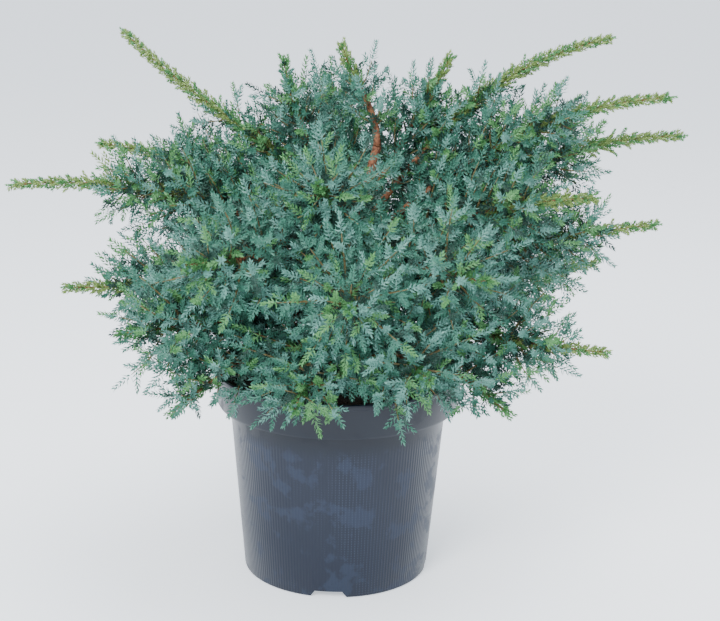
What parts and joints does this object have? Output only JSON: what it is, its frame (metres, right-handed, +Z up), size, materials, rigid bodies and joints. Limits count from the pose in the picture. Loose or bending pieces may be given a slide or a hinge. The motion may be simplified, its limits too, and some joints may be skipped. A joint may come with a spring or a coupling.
{
  "type": "potted blue swede flaky juniper",
  "caption": "Spreading blue-green juniper shrub with long arching leaders in a round black nursery pot, standing on the pot's flat underside.",
  "frame": {"origin": "middle of the pot's flat underside, on the surface it stands on", "axes": "+Z up; -Y is the side seen in front; +X to the right seen from the front"},
  "size_m": [0.7292, 0.583, 0.5831],
  "materials": {
    "pot": "dark blue-black moulded plastic with dried water marks",
    "soil": "damp crumbly compost",
    "bark": "red-brown flaking bark",
    "foliage": "matt blue-green needles"
  },
  "bodies": {
    "root": {"bough_back": "bark", "bough_back_left": "bark", "bough_back_low": "bark", "bough_back_low_left": "bark", "bough_back_right": "bark", "bough_back_upper": "bark", "bough_front_centre": "bark", "bough_front_leader": "bark", "bough_front_left": "bark", "bough_front_low": "bark", "bough_front_right": "bark", "bough_front_upper": "bark", "bough_left_front": "bark", "bough_left_long": "bark", "bough_left_low": "bark", "bough_left_upper": "bark", "bough_low_right": "bark", "bough_right_high": "bark", "bough_right_long": "bark", "bough_right_low": "bark", "bough_right_mid": "bark", "bough_skirt_front": "bark", "bough_skirt_left": "bark", "bough_skirt_right": "bark", "bough_top_left": "bark", "bough_top_right": "bark", "bough_upper_left": "bark", "bough_upper_right": "bark", "mass_back": "foliage", "mass_back_left": "foliage", "mass_back_low": "foliage", "mass_back_low_left": "foliage", "mass_back_right": "foliage", "mass_back_upper": "foliage", "mass_front_centre": "foliage", "mass_front_leader": "foliage", "mass_front_left": "foliage", "mass_front_low": "foliage", "mass_front_right": "foliage", "mass_front_upper": "foliage", "mass_left_front": "foliage", "mass_left_long": "foliage", "mass_left_low": "foliage", "mass_left_upper": "foliage", "mass_low_right": "foliage", "mass_right_high": "foliage", "mass_right_long": "foliage", "mass_right_low": "foliage", "mass_right_mid": "foliage", "mass_skirt_front": "foliage", "mass_skirt_left": "foliage", "mass_skirt_right": "foliage", "mass_top": "foliage", "mass_top_left": "foliage", "mass_top_right": "foliage", "mass_upper_left": "foliage", "mass_upper_right": "foliage", "pot": "pot", "soil": "soil", "stem": "bark"}
  },
  "joints": []
}
